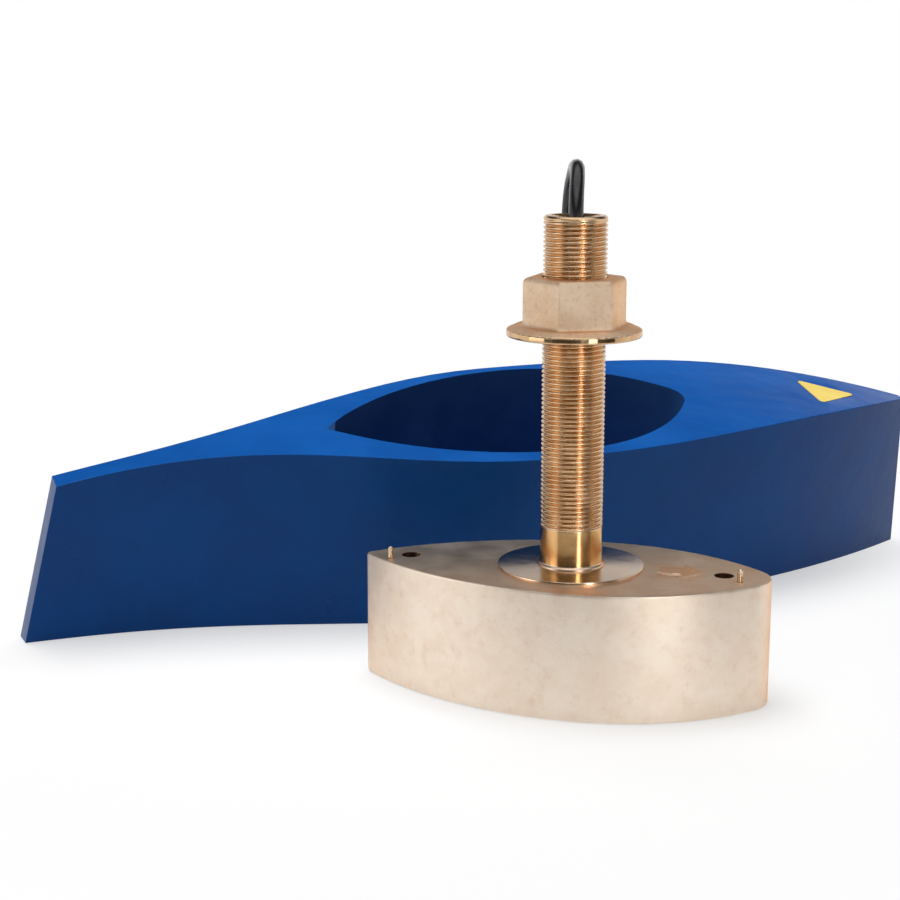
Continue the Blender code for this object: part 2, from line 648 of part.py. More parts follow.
def make_cable(black, strap):
    rise = [(x, y, STEM_TOP + z) for x, y, z in CABLE_RISE]
    tube("cable", rise + CABLE_FALL, black)
    tube("cable_tail", TAIL_ROUTE, black, CABLE_STEP / 2)
    inner, outer = coil_radii()
    low = COIL_FLOOR
    high = low + 2 * CABLE_RADIUS * COIL_TURNS_UP
    corner = CABLE_RADIUS
    ring = [(inner + corner, low), (outer - corner, low), (outer, low + corner), (outer, high - corner),
            (outer - corner, high), (inner + corner, high), (inner, high - corner), (inner, low + corner)]
    item = place("cable_coil", turned("cable_coil", ring, 40, closed=True), black)
    item.location = (*COIL_CENTRE, 0)

    left = inner - TIE_ROOM_IN
    right = outer + TIE_ROOM_OUT
    bottom = low - TIE_ROOM_OUT
    roof = high + TIE_ROOM_OUT
    wall = TIE_THICKNESS
    outline = [(left - wall, bottom - wall), (right + wall, bottom - wall),
               (right + wall, roof + wall), (left - wall, roof + wall)]
    band = prism("tie", outline, -TIE_WIDTH / 2, TIE_WIDTH / 2)
    outline = [(left, bottom), (right, bottom), (right, roof), (left, roof)]
    inside = prism("tie_room", outline, -TIE_WIDTH, TIE_WIDTH)
    tie = place("coil_tie", band, strap)
    room = cutter("cut_tie_room", inside)
    for part in (tie, room):
        part.location = (*COIL_CENTRE, 0)
        part.rotation_euler = (math.pi / 2, 0, TIE_ANGLE)
    combine(tie, room, "DIFFERENCE")


def make_connector(shell_metal, ring_metal, plastic, contact_metal, black):
    """A round multi-pin plug on the cable's end, built along Z and then laid on its side."""
    end = Vector(TAIL_ROUTE[-1])
    ahead = end - Vector(TAIL_ROUTE[-2])
    frame = bpy.data.objects.new("connector_frame", None)
    bpy.context.collection.objects.link(frame)
    frame.location = (end.x, end.y, CONNECTOR_AXIS_HEIGHT)
    frame.rotation_euler = (math.pi / 2, 0, math.atan2(ahead.y, ahead.x) + math.pi / 2)

    start = GAP
    profile = [(0, start), (CABLE_RADIUS + BOOT_WALL, start), (BOOT_RADIUS, start + BOOT_TAPER),
               (BOOT_RADIUS, start + BOOT_LENGTH), (0, start + BOOT_LENGTH)]
    place("connector_boot", turned("boot", profile, 24), black, frame)

    foot = start + BOOT_LENGTH + GAP
    mouth = foot + SHELL_LENGTH
    floor = mouth - SOCKET_DEPTH
    bore = SHELL_RADIUS - SHELL_WALL
    profile = [(0, foot), (SHELL_RADIUS, foot), (SHELL_RADIUS, mouth), (bore, mouth), (bore, floor), (0, floor)]
    place("connector_shell", turned("shell", profile, 28), shell_metal, frame)

    low = mouth - RING_SET_BACK - RING_LENGTH
    high = mouth - RING_SET_BACK
    lip = GAP * 2
    profile = [(SHELL_RADIUS + GAP, low), (RING_RADIUS - lip, low), (RING_RADIUS, low + lip),
               (RING_RADIUS, high - lip), (RING_RADIUS - lip, high), (SHELL_RADIUS + GAP, high)]
    place("coupling_ring", turned("ring", profile, 28, closed=True), ring_metal, frame)

    low = floor + GAP
    body = turned("insert", cylinder_profile(bore - GAP, low, low + INSERT_LENGTH), 28)
    insert = place("contact_insert", body, plastic, frame)
    deep = low + INSERT_LENGTH - CONTACT_SUNK
    pin = prism("contact", circle(0, 0, CONTACT_RADIUS, 8), deep, deep + CONTACT_LENGTH)
    pin.materials.append(contact_metal)
    socket = prism("contact_hole", circle(0, 0, CONTACT_RADIUS + GAP, 8), deep - GAP, mouth)
    for k in range(CONTACT_COUNT):
        angle = math.tau * k / CONTACT_COUNT
        spot = (CONTACT_CIRCLE * math.cos(angle), CONTACT_CIRCLE * math.sin(angle), 0)
        place(f"contact_{k + 1}", pin, parent=frame).location = spot
        room = cutter("cut_contact_hole", socket, frame)
        room.location = spot
        combine(insert, room, "DIFFERENCE")


def build():
    clear_objects()
    bronze = material("Cast bronze, bead blasted", 0.60, 0.42, 0.28, 0.45, 1.0)
    blue = material("Moulded blue urethane", 0.010, 0.080, 0.330, 0.35)
    yellow = material("Moulded yellow urethane", 0.80, 0.60, 0.08, 0.45)
    black = material("Black cable jacket", 0.010, 0.010, 0.011, 0.30)
    urethane = material("Cast urethane window", 0.030, 0.030, 0.032, 0.40)
    ceramic = material("Fired ceramic", 0.55, 0.50, 0.38, 0.60)
    cork = material("Cork and rubber", 0.28, 0.16, 0.08, 0.90)
    epoxy = material("Potting epoxy", 0.040, 0.040, 0.045, 0.50)
    ferrite = material("Wound ferrite", 0.060, 0.055, 0.055, 0.60)
    steel = material("Stainless steel", 0.60, 0.60, 0.60, 0.30, 1.0)
    nickel = material("Nickel plated brass", 0.62, 0.60, 0.56, 0.28, 1.0)
    gold = material("Gold plated contact", 0.90, 0.65, 0.25, 0.25, 1.0)
    rubber = material("Grey rubber seal", 0.060, 0.060, 0.062, 0.70)
    strap = material("Woven strap", 0.015, 0.015, 0.016, 0.85)
    make_housing(bronze)
    make_pins(bronze)
    make_nut(bronze)
    make_inside(urethane, ceramic, cork, epoxy, ferrite, steel, rubber)
    make_fairing(blue, yellow)
    make_cable(black, strap)
    make_connector(nickel, nickel, epoxy, gold, black)


build()
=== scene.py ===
# %% [markdown]
# # A bronze sonar transducer and its fairing
# The solids are already made, at their real size and in their real places, in metres. This notebook gives
# them their looks: finer shapes where the solids are plain, and a material for every surface. The stem
# stands on the Z axis, the bow is at +X, and the bench is at z = 0.

# %% The frame
import math

import bmesh
import bpy
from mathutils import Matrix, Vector


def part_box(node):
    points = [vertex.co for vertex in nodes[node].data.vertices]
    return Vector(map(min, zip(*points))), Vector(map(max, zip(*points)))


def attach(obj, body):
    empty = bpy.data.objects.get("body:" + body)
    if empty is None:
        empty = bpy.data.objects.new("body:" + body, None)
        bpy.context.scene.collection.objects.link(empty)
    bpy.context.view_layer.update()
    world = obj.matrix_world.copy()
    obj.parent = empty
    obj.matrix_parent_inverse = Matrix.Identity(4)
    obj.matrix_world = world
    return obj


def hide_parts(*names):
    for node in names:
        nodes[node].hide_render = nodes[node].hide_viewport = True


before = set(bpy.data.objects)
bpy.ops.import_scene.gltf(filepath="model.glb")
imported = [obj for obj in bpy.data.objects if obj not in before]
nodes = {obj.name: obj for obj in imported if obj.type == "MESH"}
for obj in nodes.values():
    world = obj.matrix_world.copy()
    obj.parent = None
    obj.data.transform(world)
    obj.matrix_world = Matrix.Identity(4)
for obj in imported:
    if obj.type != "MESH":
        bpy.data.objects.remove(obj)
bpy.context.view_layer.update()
MM = 0.001
MERGE = 0.00001  # points closer than this are one

# %% [markdown]
# ## The camera
# A product shot like this one uses a longish lens from about a metre, looking slightly down. A lens of
# 70 mm on a 36 mm sensor gives the same flat perspective. The place and the two angles were found by
# fitting the housing's edges, so they are plain numbers here.

# %% Camera
EYE = (0.150691, -0.850724, 0.308745)
DOWN = 12.02
TURN = 14.138
lens = bpy.data.cameras.new("camera")
lens.lens = 70
lens.sensor_width = 36
lens.clip_start = 0.01
lens.clip_end = 50
camera = bpy.data.objects.new("camera", lens)
bpy.context.scene.collection.objects.link(camera)
camera.location = EYE
camera.rotation_euler = (math.radians(90 - DOWN), 0, math.radians(TURN))
bpy.context.scene.camera = camera
print("camera", [round(v, 3) for v in EYE], "looks down", DOWN, "degrees")

# %% [markdown]
# ## The cable's route
# The cable is a bundle of screened wires in a PVC jacket, 9 m long and 7.5 mm thick, so it bends in wide
# curves and never kinks. It leaves the stem straight up, falls over the fairing's far edge and runs to a
# coil of 25 turns, then to its plug. A Bezier spline with automatic handles passes through every point and
# stays smooth between them.

# %% Route of the cable
CABLE_RADIUS = 3.75 * MM
route_out = [
    (0.0000, 0.0000, 0.2205), (0.0000, 0.0000, 0.2280), (0.0000, 0.0001, 0.2355),
    (-0.0007, 0.0045, 0.2500), (-0.0023, 0.0154, 0.2610), (-0.0052, 0.0296, 0.2650),
    (-0.0091, 0.0436, 0.2610), (-0.0128, 0.0540, 0.2500), (-0.0147, 0.0592, 0.2340),
    (-0.0204, 0.0810, 0.1920), (-0.0225, 0.1085, 0.1700), (-0.0252, 0.1430, 0.1520),
    (-0.0303, 0.1825, 0.1410), (-0.0368, 0.2189, 0.1354), (-0.0407, 0.2467, 0.1347),
    (-0.0435, 0.2686, 0.1290), (-0.0467, 0.2862, 0.1120), (-0.0493, 0.2959, 0.0850),
    (-0.0537, 0.3032, 0.0550), (-0.0593, 0.3133, 0.0265), (-0.0758, 0.3253, 0.0095),
    (-0.1117, 0.3411, 0.0047), (-0.1553, 0.3546, 0.0056),
]
route_tail = [
    (-0.2496, 0.3023, 0.0356), (-0.2561, 0.2716, 0.0300), (-0.2607, 0.2406, 0.0170),
    (-0.2625, 0.2117, 0.0112), (-0.2631, 0.1917, 0.0108),
]
COIL_CENTRE = (-0.1761, 0.2815)
COIL_BOTTOM = 1.8 * MM
TURNS_ACROSS = 5
LAYERS = 5
MEAN_RADIUS = 53.1 * MM
POINTS_A_TURN = 20
LANE_CHANGE = 1 / 6  # of a turn, to pass from one lane to the next


def lane_order():
    """Column and layer of each turn: three layers to and fro, then two layers column by column."""
    inwards = list(range(TURNS_ACROSS))
    outwards = inwards[::-1]
    order = [(k, 0) for k in inwards] + [(k, 1) for k in outwards] + [(k, 2) for k in inwards]
    for k in outwards:
        order += [(k, 3), (k, 4)] if k % 2 == 0 else [(k, 4), (k, 3)]
    return order


def winding():
    """The coil's points. Each turn changes to its lane at its start and then keeps it."""
    pitch = 2 * CABLE_RADIUS
    outermost = MEAN_RADIUS + (TURNS_ACROSS - 1) / 2 * pitch
    lowest = COIL_BOTTOM + CABLE_RADIUS
    start = Vector(route_out[-1]) - Vector((*COIL_CENTRE, 0))
    end = Vector(route_tail[0]) - Vector((*COIL_CENTRE, 0))
    lanes = [(start.xy.length, start.z)]
    lanes += [(outermost - pitch * column, lowest + pitch * layer) for column, layer in lane_order()]
    lanes += [(end.xy.length, end.z)]
    first = math.atan2(start.y, start.x)
    turns = TURNS_ACROSS * LAYERS + (math.atan2(end.y, end.x) - first) / math.tau
    total = round(turns * POINTS_A_TURN)
    points = []
    for k in range(1, total):
        turn = turns * k / total
        lane = min(int(turn), len(lanes) - 3)
        share = (turn - lane) / LANE_CHANGE
        if turn > turns - LANE_CHANGE:
            lane, share = len(lanes) - 2, (turn - turns) / LANE_CHANGE + 1
        share = min(max(share, 0), 1)
        share = share * share * (3 - 2 * share)
        radius = lanes[lane][0] * (1 - share) + lanes[lane + 1][0] * share
        height = lanes[lane][1] * (1 - share) + lanes[lane + 1][1] * share
        angle = first + math.tau * turn
        points.append((COIL_CENTRE[0] + radius * math.cos(angle),
                       COIL_CENTRE[1] + radius * math.sin(angle), height))
    return points


cable_points = route_out + winding() + route_tail
print("cable points:", len(cable_points))

# %% Cable
line = bpy.data.curves.new("sounder_cable", "CURVE")
line.dimensions = "3D"
line.bevel_depth = 1.0  # times each point's radius, so that the curve's box counts the true thickness
line.bevel_resolution = 3
line.resolution_u = 4
line.use_fill_caps = True
spline = line.splines.new("BEZIER")
spline.bezier_points.add(len(cable_points) - 1)
for spot, point in zip(spline.bezier_points, cable_points):
    spot.co = point
    spot.radius = CABLE_RADIUS
    spot.handle_left_type = "AUTO"
    spot.handle_right_type = "AUTO"
cable = bpy.data.objects.new("sounder_cable", line)
bpy.context.scene.collection.objects.link(cable)
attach(cable, "root")
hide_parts("cable", "cable_coil", "cable_tail")

# %% [markdown]
# ## Small helpers
# Operators act on what is selected, so one function selects by place and others copy, finish and shade a
# piece. Then come the helpers for materials: colours are written as the usual hex numbers and turned to
# linear light, and a few small functions add the shader nodes that every material here is made of.


# %% Helpers for shapes
def alone(item):
    """Makes this the only selected object, and the active one."""
    bpy.ops.object.select_all(action="DESELECT")
    item.select_set(True)
    bpy.context.view_layer.objects.active = item
    return item


def merged_copy(node, name, flat=0.4):
    """A copy of a solid with its loose triangles joined and its flat faces made whole."""
    item = bpy.data.objects.new(name, nodes[node].data.copy())
    bpy.context.scene.collection.objects.link(item)
    item.data.materials.clear()
    alone(item)
    bpy.ops.object.mode_set(mode="EDIT")
    bpy.ops.mesh.select_all(action="SELECT")
    bpy.ops.mesh.remove_doubles(threshold=MERGE)
    bpy.ops.mesh.dissolve_limited(angle_limit=math.radians(flat))
    bpy.ops.object.mode_set(mode="OBJECT")
    return item


def pick(item, kind, test):
    """In edit mode, selects each edge or face whose middle passes the test."""
    bpy.ops.mesh.select_mode(type=kind)
    bpy.ops.mesh.select_all(action="DESELECT")
    shape = bmesh.from_edit_mesh(item.data)
    found = 0
    for part in {"EDGE": shape.edges, "FACE": shape.faces}[kind]:
        if kind == "EDGE":
            middle = (part.verts[0].co + part.verts[1].co) / 2
        else:
            middle = part.calc_center_median()
        if test(middle, part):
            part.select_set(True)
            found += 1
    shape.select_flush_mode()
    bmesh.update_edit_mesh(item.data)
    return found


def applied(item, kind, **settings):
    """Adds a modifier, sets it up and applies it."""
    alone(item)
    step = item.modifiers.new(kind.title(), kind)
    for name, value in settings.items():
        setattr(step, name, value)
    bpy.ops.object.modifier_apply(modifier=step.name)
    return item


def smooth(item, degrees):
    """Smooth shading, with faces of a large area holding their own direction."""
    alone(item)
    bpy.ops.object.shade_smooth_by_angle(angle=math.radians(degrees))
    return applied(item, "WEIGHTED_NORMAL", keep_sharp=True, weight=60)


def hold_flat(item, test):
    """Faces that pass the test keep their own normal, though their corners also belong to rounds."""
    normals = [corner.vector.copy() for corner in item.data.corner_normals]
    for face in item.data.polygons:
        if test(face):
            for corner in face.loop_indices:
                normals[corner] = face.normal.copy()
    item.data.normals_split_custom_set(normals)


def dressed(item, material, slot, *stands_for):
    """Gives the piece its material and its body, and hides the solids it stands for. Its slot is not used."""
    if not item.data.materials:
        item.data.materials.append(material)
    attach(item, "root")
    if stands_for:
        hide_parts(*stands_for)
    print(item.name, "faces:", len(item.data.polygons))
    return item


# %% Helpers for materials
def linear(hex_colour):
    """An sRGB hex colour as linear red, green, blue and alpha."""
    parts = [int(hex_colour[k:k + 2], 16) / 255 for k in (1, 3, 5)]
    return tuple(c / 12.92 if c <= 0.04045 else ((c + 0.055) / 1.055) ** 2.4 for c in parts) + (1.0,)


def add(tree, kind, settings=None, inputs=None):
    """Adds a node, sets its properties, and sets or links its inputs."""
    made = tree.nodes.new(kind)
    for name, value in (settings or {}).items():
        setattr(made, name, value)
    for name, value in (inputs or {}).items():
        if isinstance(value, bpy.types.NodeSocket):
            tree.links.new(value, made.inputs[name])
        else:
            made.inputs[name].default_value = value
    return made


def blank(name):
    """A new material with an empty tree and the piece's own coordinates."""
    made = bpy.data.materials.new(name)
    made.use_nodes = True
    tree = made.node_tree
    tree.nodes.clear()
    return made, tree, add(tree, "ShaderNodeTexCoord").outputs["Object"]


def noise(tree, place, size, detail, coarse=0.5):
    """A cloudy pattern from nought to one whose patches are about size across."""
    return add(tree, "ShaderNodeTexNoise", None, {
        "Vector": place, "Scale": 1 / size, "Detail": detail, "Roughness": coarse}).outputs["Fac"]


def ranged(tree, value, from_low, from_high, to_low=0.0, to_high=1.0, kind="LINEAR"):
    """Maps one range of a value to another, in a straight line or an S curve."""
    return add(tree, "ShaderNodeMapRange", {"interpolation_type": kind}, {
        "Value": value, "From Min": from_low, "From Max": from_high,
        "To Min": to_low, "To Max": to_high}).outputs["Result"]


def mixed(tree, share, one, two):
    """Two colours mixed. Each is a hex colour or another node's output."""
    sockets = [linear(c) if isinstance(c, str) else c for c in (one, two)]
    return add(tree, "ShaderNodeMix", {"data_type": "RGBA"}, {
        0: share, 6: sockets[0], 7: sockets[1]}).outputs[2]


def mottled(tree, place, size, colours, contrast=(0.35, 0.65)):
    """Two colours in patches about size across, and the pattern that mixes them."""
    cloud = noise(tree, place, size, 5.0, 0.62)
    return mixed(tree, ranged(tree, cloud, *contrast, kind="SMOOTHSTEP"), *colours), cloud


def bump(tree, height, depth, under=None):
    """Relief of a depth in metres. It can lie on top of other relief."""
    inputs = {"Height": height, "Distance": depth}
    if under is not None:
        inputs["Normal"] = under
    return add(tree, "ShaderNodeBump", None, inputs).outputs["Normal"]


def finished(made, tree, colour, sheen, relief, more=None):
    """Closes a material with one shader. Sheen is a pattern with its lowest and highest roughness."""
    cloud, smoothest, roughest = sheen
    shader = add(tree, "ShaderNodeBsdfPrincipled", None, {
        "Base Color": colour, "Roughness": ranged(tree, cloud, 0.3, 0.7, smoothest, roughest),
        "Normal": relief, **(more or {})})
    add(tree, "ShaderNodeOutputMaterial", None, {"Surface": shader.outputs["BSDF"]})
    return made


# %% [markdown]
# ## Cable jacket
# The jacket is extruded PVC: near black, smooth, with a soft sheen and very faint ripples along it.


# %% Material: extruded PVC
def plain_surface(name, light, dark, patch, grain, depth, rough, spread=0.08, metallic=0.0):
    """Two tones in patches, a fine grain in relief, and roughness that follows the patches.

    Patch, grain and depth are in millimetres.
    """
    made, tree, place = blank(name)
    colour, cloud = mottled(tree, place, patch * MM, (dark, light))
    relief = bump(tree, noise(tree, place, grain * MM, 3.0), depth * MM)
    return finished(made, tree, colour, (cloud, rough - spread, rough + spread), relief, {"Metallic": metallic})


jacket = plain_surface("Extruded black PVC", "#1C1D1F", "#121314", 30, 1.2, 0.03, 0.22)
cable.data.materials.append(jacket)

# %% [markdown]
# ## The connector
# The cable ends in a round instrument plug. Its boot is moulded rubber, its shell is plated, and its
# coupling ring is fluted so that wet fingers can turn it: the ring's outer faces are chosen by place, inset
# and pushed in. The other pieces are copies of the solids with soft edges.

# %% Coupling ring
FLUTE = 0.35 * MM  # both the flutes' margin and their depth
ring_low, ring_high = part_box("coupling_ring")


def knurled_ring():
    """The coupling ring with a flute pressed into each of its outer faces."""
    item = merged_copy("coupling_ring", "knurled_ring")
    bpy.ops.object.mode_set(mode="EDIT")
    centre = (ring_low + ring_high) / 2
    reach = (ring_high.z - ring_low.z) / 2
    found = pick(item, "FACE", lambda middle, face: (
        len(face.verts) == 4 and (middle - centre).dot(face.normal) > 0.9 * reach))
    bpy.ops.mesh.inset(thickness=FLUTE, depth=-FLUTE, use_individual=True)
    bpy.ops.object.mode_set(mode="OBJECT")
    print("flutes:", found)
    return smooth(item, 25)


nickel = plain_surface("Satin nickel plate on brass", "#C9C6BE", "#B4B0A7", 8, 0.5, 0.01, 0.30, 0.05, 1.0)
knurl = dressed(knurled_ring(), nickel, "nickel", "coupling_ring")


# %% Boot and shell
SHARP = math.radians(35)  # an edge that turns more than this is rounded


def softened(node, name, width, steps=3):
    """A copy of a solid with its sharp edges rounded."""
    item = merged_copy(node, name)
    applied(item, "BEVEL", width=width, segments=steps, limit_method="ANGLE", angle_limit=SHARP)
    return smooth(item, 30)


rubber = plain_surface("Moulded black rubber", "#1F2022", "#151617", 12, 0.6, 0.03, 0.55)
boot = dressed(softened("connector_boot", "plug_boot", 0.5 * MM), rubber, "cable_black", "connector_boot")
shell = dressed(softened("connector_shell", "plug_shell", 0.3 * MM), nickel, "nickel", "connector_shell")
webbing = plain_surface("Woven nylon strap", "#232427", "#131415", 1.6, 0.9, 0.25, 0.85)
tie = dressed(softened("coil_tie", "coil_strap", 0.4 * MM, 2), webbing, "strap", "coil_tie")

# %% [markdown]
# ## Cast bronze
# The housing is sand cast and then bead blasted. Blasting leaves a fine satin grain that spreads the light
# evenly, and the sand's texture stays as a slow unevenness with paler and pinker patches. Where the lathe
# has cut, on the boss and the shank, the same metal is bright and golden with fine rings. The collar and
# the arrow's top are rubbed bright.


# %% Material: blasted casting
def cast_bronze(name, pale, warm, rose, grain=0.10, rough=0.44, patch=6.0):
    """Satin metal in three tones, with fine pits on a slow swell. Grain and patch are in millimetres."""
    made, tree, place = blank(name)
    inner, cloud = mottled(tree, place, 16 * MM, (warm, pale), (0.25, 0.75))
    colour, _ = mottled(tree, place, patch * MM, (inner, rose), (0.48, 0.92))
    swell = bump(tree, noise(tree, place, 5 * MM, 3.0), 0.08 * MM)
    relief = bump(tree, noise(tree, place, 0.8 * MM, 4.0, 0.7), grain * MM, swell)
    return finished(made, tree, colour, (cloud, rough - 0.04, rough + 0.05), relief,
                    {"Metallic": 1.0, "Specular Tint": linear("#FFCBA6")})


blasted = cast_bronze("Cast bronze, bead blasted", "#F3E6D6", "#EAD8C4", "#E1C6B0")
rubbed = cast_bronze("Cast bronze, rubbed bright", "#EAD3BD", "#DDC2A8", "#D2B094", 0.05, 0.30)
# A darker bronze for the insides of the two holes: painted shade in the recesses.
hole_shade_bronze = cast_bronze("Bronze, painted shade in the holes", "#8A6A4E", "#6E5038", "#5A3F2C", 0.05, 0.45)


# %% Material: turned bronze
def turned_bronze(name, gold, deep, pitch, along, rough, crown=0.0):
    """Bright metal with the lathe's fine rings: across the radius on a face, along Z on a shank.

    Pitch is in millimetres. A face can fall by crown degrees from its middle to its rim.
    """
    made, tree, place = blank(name)
    colour, cloud = mottled(tree, place, 9 * MM, (deep, gold))
    rings = add(tree, "ShaderNodeTexWave",
                {"wave_type": "BANDS", "bands_direction": "Z"} if along else
                {"wave_type": "RINGS", "rings_direction": "Z"},
                {"Vector": place, "Scale": 1 / (pitch * MM) / 2, "Distortion": 0.6, "Detail": 2.0})
    slope = None
    if crown:
        level = add(tree, "ShaderNodeVectorMath", {"operation": "MULTIPLY"}, {0: place, 1: (1.0, 1.0, 0.0)})
        reach = add(tree, "ShaderNodeVectorMath", {"operation": "LENGTH"}, {0: level.outputs["Vector"]})
        slope = add(tree, "ShaderNodeBump", {"invert": True}, {
            "Height": reach.outputs["Value"], "Distance": math.tan(math.radians(crown))}).outputs["Normal"]
    relief = bump(tree, rings.outputs["Fac"], 0.004 * MM, slope)
    return finished(made, tree, colour, (cloud, rough - 0.04, rough + 0.06), relief, {"Metallic": 1.0})


faced = turned_bronze("Turned bronze face", "#E4CCB4", "#D4B89C", 0.5, False, 0.19, 2.6)
shank_metal = turned_bronze("Turned bronze shank", "#E2B67E", "#D4A46A", 0.4, True, 0.15)
print("materials:", [m.name for m in (blasted, rubbed, hole_shade_bronze, faced, shank_metal)])

# %% [markdown]
# ## The housing
# The solid has the right shape, so a copy of it is used. The stem above the shank is cut away with a
# bisect, because a threaded stem takes its place. The lathe leaves a small round on the boss's lip, and the
# collar's edge is round too. Faces inside the boss's radius get the turned metal, the arrow's top is rubbed
# bright and the insides of the two holes get a darker bronze, which is painted shade. Level faces keep a level
# shading, or the rounds would bend it.

# %% Housing
BOSS_RADIUS = 37.4 * MM
BOSS_LOW = 65.2 * MM
BOSS_TOP = 66.5 * MM
LIP_ROUND = 0.35 * MM
ARROW_TOP = 66.2 * MM
SHANK_TOP = 86.2 * MM
COLLAR_RADIUS = 17.3 * MM
COLLAR_FOOT = 67.0 * MM
COLLAR_TOP = 68.3 * MM
COLLAR_ROUND = 0.45 * MM
HOLES = (-84.5 * MM, 77.7 * MM)
HOLE_REACH = 5.3 * MM
HOUSING_TOP = 65 * MM
RING_SLACK = 0.15 * MM  # how far a ring's corners may lie from its radius
LEVEL = 0.9999  # a face whose normal points up more than this is level
METALS = (blasted, faced, shank_metal, rubbed, hole_shade_bronze)
BLASTED, FACED, SHANK, RUBBED, HOLE_SHADE = range(len(METALS))


def is_ring(edge, radius, low, high):
    """True for an edge of a circle round the stem that lies between two heights."""
    return all(abs(math.hypot(v.co.x, v.co.y) - radius) < RING_SLACK
               and low < v.co.z < high for v in edge.verts)


def metal_of(face, corners):
    """Which metal a face of the housing has, by its place."""
    spot = face.center
    reach = max(math.hypot(corners[v].co.x, corners[v].co.y) for v in face.vertices)
    if reach < BOSS_RADIUS + 0.2 * MM and spot.z > BOSS_LOW:
        if reach > COLLAR_RADIUS + 0.2 * MM:
            return FACED
        return SHANK if spot.z > COLLAR_TOP else RUBBED
    if abs(spot.z - ARROW_TOP) < 0.1 * MM:
        return RUBBED
    # The holes' insides take the darker bronze, painted shade in the recesses.
    if spot.z < HOUSING_TOP - 0.1 * MM and min(math.hypot(spot.x - x, spot.y) for x in HOLES) < HOLE_REACH:
        return HOLE_SHADE
    return BLASTED


housing = merged_copy("bronze_housing", "housing_casting", 0.05)
bpy.ops.object.mode_set(mode="EDIT")
bpy.ops.mesh.select_all(action="SELECT")
bpy.ops.mesh.bisect(plane_co=(0, 0, SHANK_TOP), plane_no=(0, 0, 1), clear_outer=True, use_fill=True)
lip = pick(housing, "EDGE", lambda middle, edge: is_ring(
    edge, BOSS_RADIUS, BOSS_TOP - 0.2 * MM, BOSS_TOP + 0.2 * MM))
bpy.ops.mesh.bevel(offset=LIP_ROUND, segments=2)
foot = pick(housing, "EDGE", lambda middle, edge: is_ring(
    edge, COLLAR_RADIUS, COLLAR_FOOT, COLLAR_TOP + 0.1 * MM))
bpy.ops.mesh.bevel(offset=COLLAR_ROUND, segments=3)
print("lip edges:", lip, "collar edges:", foot)
bpy.ops.object.mode_set(mode="OBJECT")
for metal in METALS:
    housing.data.materials.append(metal)
for face in housing.data.polygons:
    face.material_index = metal_of(face, housing.data.vertices)
smooth(housing, 33)
hold_flat(housing, lambda face: face.normal.z > LEVEL and face.center.z > HOUSING_TOP - 5 * MM)
dressed(housing, blasted, "cast_bronze", "bronze_housing")

# %% [markdown]
# ## The threaded stem
# The stem has eleven turns to the inch, 2.31 mm apart. A thread is a sheet rolled into a tube, pushed in
# by a wave that climbs one pitch a turn. So a flat grid is added and each of its points is rolled round
# the axis. The wave fades out at both ends, as a real thread runs out. The top edge is then extruded
# inwards for the chamfer, the rim and the bore.

# %% Threaded stem
STEM_RADIUS = 15.875 * MM
STEM_BORE = 11.5 * MM
STEM_TOP = 242.8 * MM
RIM = 1.0 * MM
THREAD_PITCH = 2.31 * MM
THREAD_DEPTH = 1.15 * MM
CREST_POWER = 1.8  # more than 1 leaves broad crests and narrow grooves
RUN_IN = 1.0 * THREAD_PITCH  # the thread fades in over this height at its foot
RUN_OUT = 1.5 * THREAD_PITCH  # and out at its top
RIM_ROUND = 0.5 * MM
BORE_DEPTH = 24 * MM
POINTS_ROUND = 72
ROWS_A_PITCH = 8
thread_low = SHANK_TOP - 0.1 * MM
thread_high = STEM_TOP - RIM
rows = round((thread_high - thread_low) / THREAD_PITCH * ROWS_A_PITCH)
bpy.ops.object.select_all(action="DESELECT")
bpy.ops.mesh.primitive_grid_add(x_subdivisions=POINTS_ROUND, y_subdivisions=rows, size=1)
stem = bpy.context.object
stem.name = "threaded_stem"
for vert in stem.data.vertices:
    turn = vert.co.x + 0.5
    height = thread_low + (vert.co.y + 0.5) * (thread_high - thread_low)
    wave = (1 - math.cos(math.tau * (height / THREAD_PITCH - turn))) / 2
    fade = min(1, (height - thread_low) / RUN_IN, (thread_high - height) / RUN_OUT)
    radius = STEM_RADIUS - THREAD_DEPTH * max(fade, 0) * wave**CREST_POWER
    vert.co = (radius * math.cos(math.tau * turn), radius * math.sin(math.tau * turn), height)
bpy.ops.object.mode_set(mode="EDIT")
bpy.ops.mesh.select_all(action="SELECT")
bpy.ops.mesh.remove_doubles(threshold=MERGE)


def draw_in(radius_from, radius_to, rise):
    """Extrudes the chosen ring, scales it to the new radius and moves it along the axis."""
    bpy.ops.mesh.extrude_region_move(TRANSFORM_OT_translate={"value": (0, 0, rise)})
    share = radius_to / radius_from
    bpy.ops.transform.resize(value=(share, share, 1), center_override=(0, 0, 0))


pick(stem, "EDGE", lambda middle, edge: edge.is_boundary and middle.z > thread_high - 0.1 * MM)
draw_in(STEM_RADIUS, STEM_RADIUS - RIM, RIM)
draw_in(STEM_RADIUS - RIM, STEM_BORE + RIM_ROUND, 0)
draw_in(STEM_BORE + RIM_ROUND, STEM_BORE, -RIM_ROUND)
draw_in(STEM_BORE, STEM_BORE, -BORE_DEPTH)
draw_in(STEM_BORE, 0.2 * MM, 0)
bpy.ops.mesh.edge_face_add()
pick(stem, "EDGE", lambda middle, edge: edge.is_boundary and middle.z < thread_low + 0.1 * MM)
bpy.ops.mesh.edge_face_add()
bpy.ops.mesh.select_all(action="SELECT")
bpy.ops.mesh.normals_make_consistent(inside=False)
bpy.ops.object.mode_set(mode="OBJECT")
alone(stem)
bpy.ops.object.shade_smooth_by_angle(angle=math.radians(50))
thread_metal = turned_bronze("Cut bronze thread", "#DFBC96", "#CFA77F", 0.4, True, 0.25)
dressed(stem, thread_metal, "cast_bronze")

# %% [markdown]
# ## The hull nut
# The nut is a casting: its hexagon has soft edges and a grainy skin. Only the flange's rim and underside
# are turned. A copy of the solid is remeshed into small even squares and smoothed a little, which rounds
# every edge as sand casting does. The rim's faces then take the turned metal.

